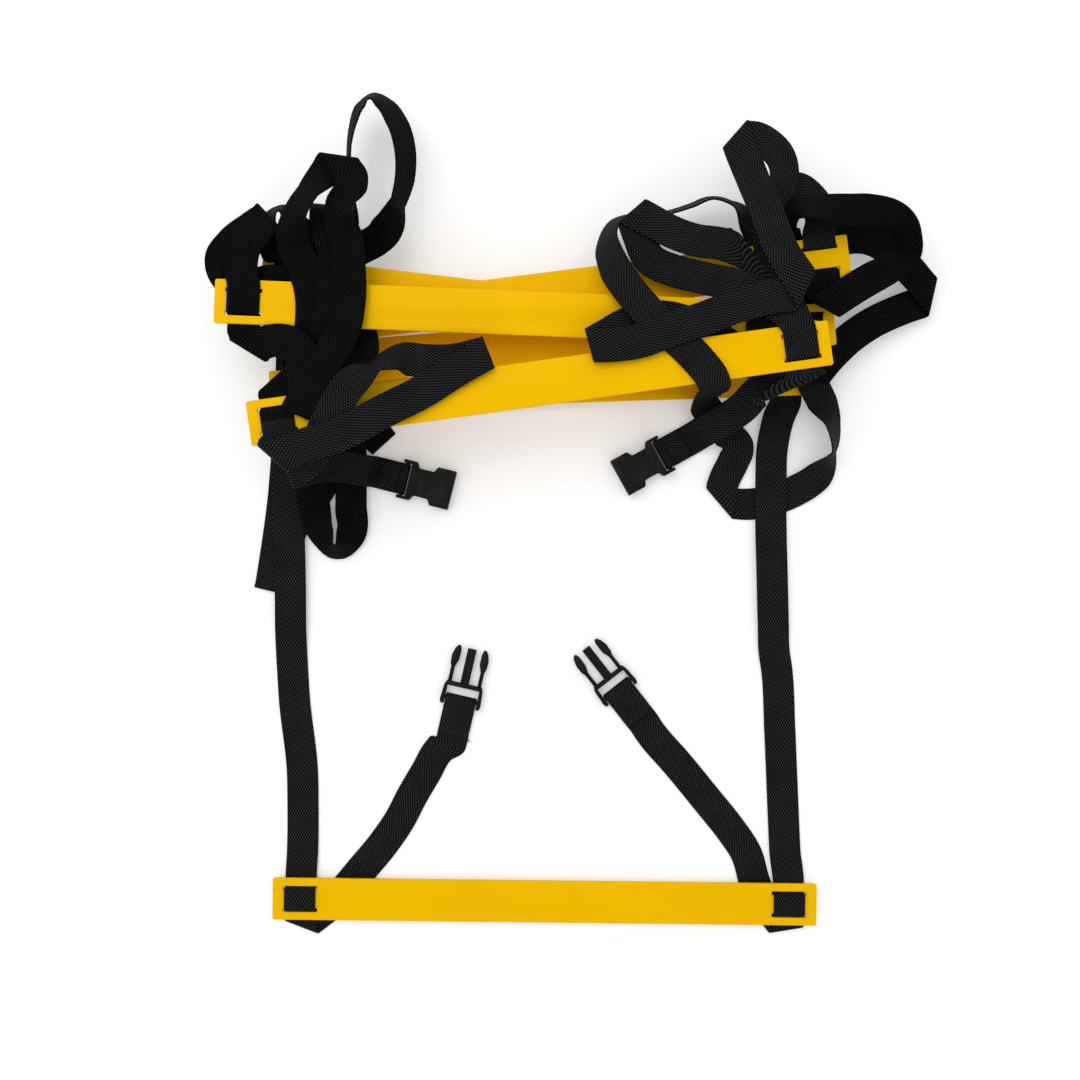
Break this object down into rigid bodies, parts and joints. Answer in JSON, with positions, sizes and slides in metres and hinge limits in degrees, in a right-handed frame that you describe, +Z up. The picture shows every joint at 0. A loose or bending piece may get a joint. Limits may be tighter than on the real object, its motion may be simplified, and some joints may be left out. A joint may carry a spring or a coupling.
{
  "type": "agility ladder",
  "caption": "Collapsed agility ladder: flat slotted rungs piled on looped black webbing, with side-release buckle halves at the webbing ends.",
  "frame": {"origin": "on the ground below the middle of the bounding box", "axes": "+Z up from the ground, +X along the rungs to the right, +Y from the drawn-out rung towards the pile"},
  "size_m": [0.5667, 0.6622, 0.0976],
  "materials": {
    "rung_yellow": "glossy moulded plastic",
    "black_webbing": "ribbed woven webbing",
    "black_plastic": "satin moulded plastic"
  },
  "bodies": {
    "pile": {"rung_2": "rung_yellow", "rung_3": "rung_yellow", "rung_4": "rung_yellow", "rung_5": "rung_yellow", "rung_6": "rung_yellow", "rung_7": "rung_yellow", "rung_8": "rung_yellow", "bay_1_root_left": "black_webbing", "bay_1_root_right": "black_webbing", "bay_2_left": "black_webbing", "bay_2_right": "black_webbing", "bay_3_left": "black_webbing", "bay_3_right": "black_webbing", "bay_4_left": "black_webbing", "bay_4_right": "black_webbing", "bay_5_left": "black_webbing", "bay_5_right": "black_webbing", "bay_6_left": "black_webbing", "bay_6_right": "black_webbing", "bay_7_left": "black_webbing", "bay_7_right": "black_webbing", "female_tail_left": "black_webbing", "female_tail_right": "black_webbing"},
    "first_bay": {"rung_1": "rung_yellow", "bay_1_left": "black_webbing", "bay_1_right": "black_webbing", "male_tail_left": "black_webbing", "male_tail_right": "black_webbing"},
    "male_left": {"male_buckle_left": "black_plastic"},
    "male_left_prong_a": {"male_buckle_left_prong_a": "black_plastic"},
    "male_left_prong_b": {"male_buckle_left_prong_b": "black_plastic"},
    "male_right": {"male_buckle_right": "black_plastic"},
    "male_right_prong_a": {"male_buckle_right_prong_a": "black_plastic"},
    "male_right_prong_b": {"male_buckle_right_prong_b": "black_plastic"},
    "female_left": {"female_buckle_left": "black_plastic"},
    "female_right": {"female_buckle_right": "black_plastic"}
  },
  "joints": [
    {"name": "first_bay_fold", "type": "hinge", "parent": "pile", "child": "first_bay", "pos_m": [0, -0.06428, 0.006], "axis": [-1, 0, 0], "range_deg": [0, 120]},
    {"name": "male_left_swing", "type": "hinge", "parent": "first_bay", "child": "male_left", "pos_m": [-0.09368, -0.1436, 0.0034], "axis": [0.9744, -0.225, 0], "range_deg": [0, 80]},
    {"name": "male_right_swing", "type": "hinge", "parent": "first_bay", "child": "male_right", "pos_m": [0.03113, -0.13531, 0.0034], "axis": [0.788, 0.6157, 0], "range_deg": [0, 80]},
    {"name": "female_left_swing", "type": "hinge", "parent": "pile", "child": "female_left", "pos_m": [-0.13881, 0.03196, 0.0052], "axis": [-0.2419, -0.9703, 0], "range_deg": [0, 80]},
    {"name": "female_right_swing", "type": "hinge", "parent": "pile", "child": "female_right", "pos_m": [0.06719, 0.05144, 0.0052], "axis": [-0.4848, 0.8746, 0], "range_deg": [0, 80]},
    {"name": "male_left_prong_a_flex", "type": "hinge", "parent": "male_left", "child": "male_left_prong_a", "pos_m": [-0.10206, -0.12832, 0.0034], "axis": [0, 0, -1], "range_deg": [0, 5], "stiffness_Nm_per_rad": 0.5},
    {"name": "male_left_prong_b_flex", "type": "hinge", "parent": "male_left", "child": "male_left_prong_b", "pos_m": [-0.07945, -0.13354, 0.0034], "axis": [0, 0, 1], "range_deg": [0, 5], "stiffness_Nm_per_rad": 0.5},
    {"name": "male_right_prong_a_flex", "type": "hinge", "parent": "male_right", "child": "male_right_prong_a", "pos_m": [0.01398, -0.13221, 0.0034], "axis": [0, 0, -1], "range_deg": [0, 5], "stiffness_Nm_per_rad": 0.5},
    {"name": "male_right_prong_b_flex", "type": "hinge", "parent": "male_right", "child": "male_right_prong_b", "pos_m": [0.03226, -0.11792, 0.0034], "axis": [0, 0, 1], "range_deg": [0, 5], "stiffness_Nm_per_rad": 0.5}
  ]
}
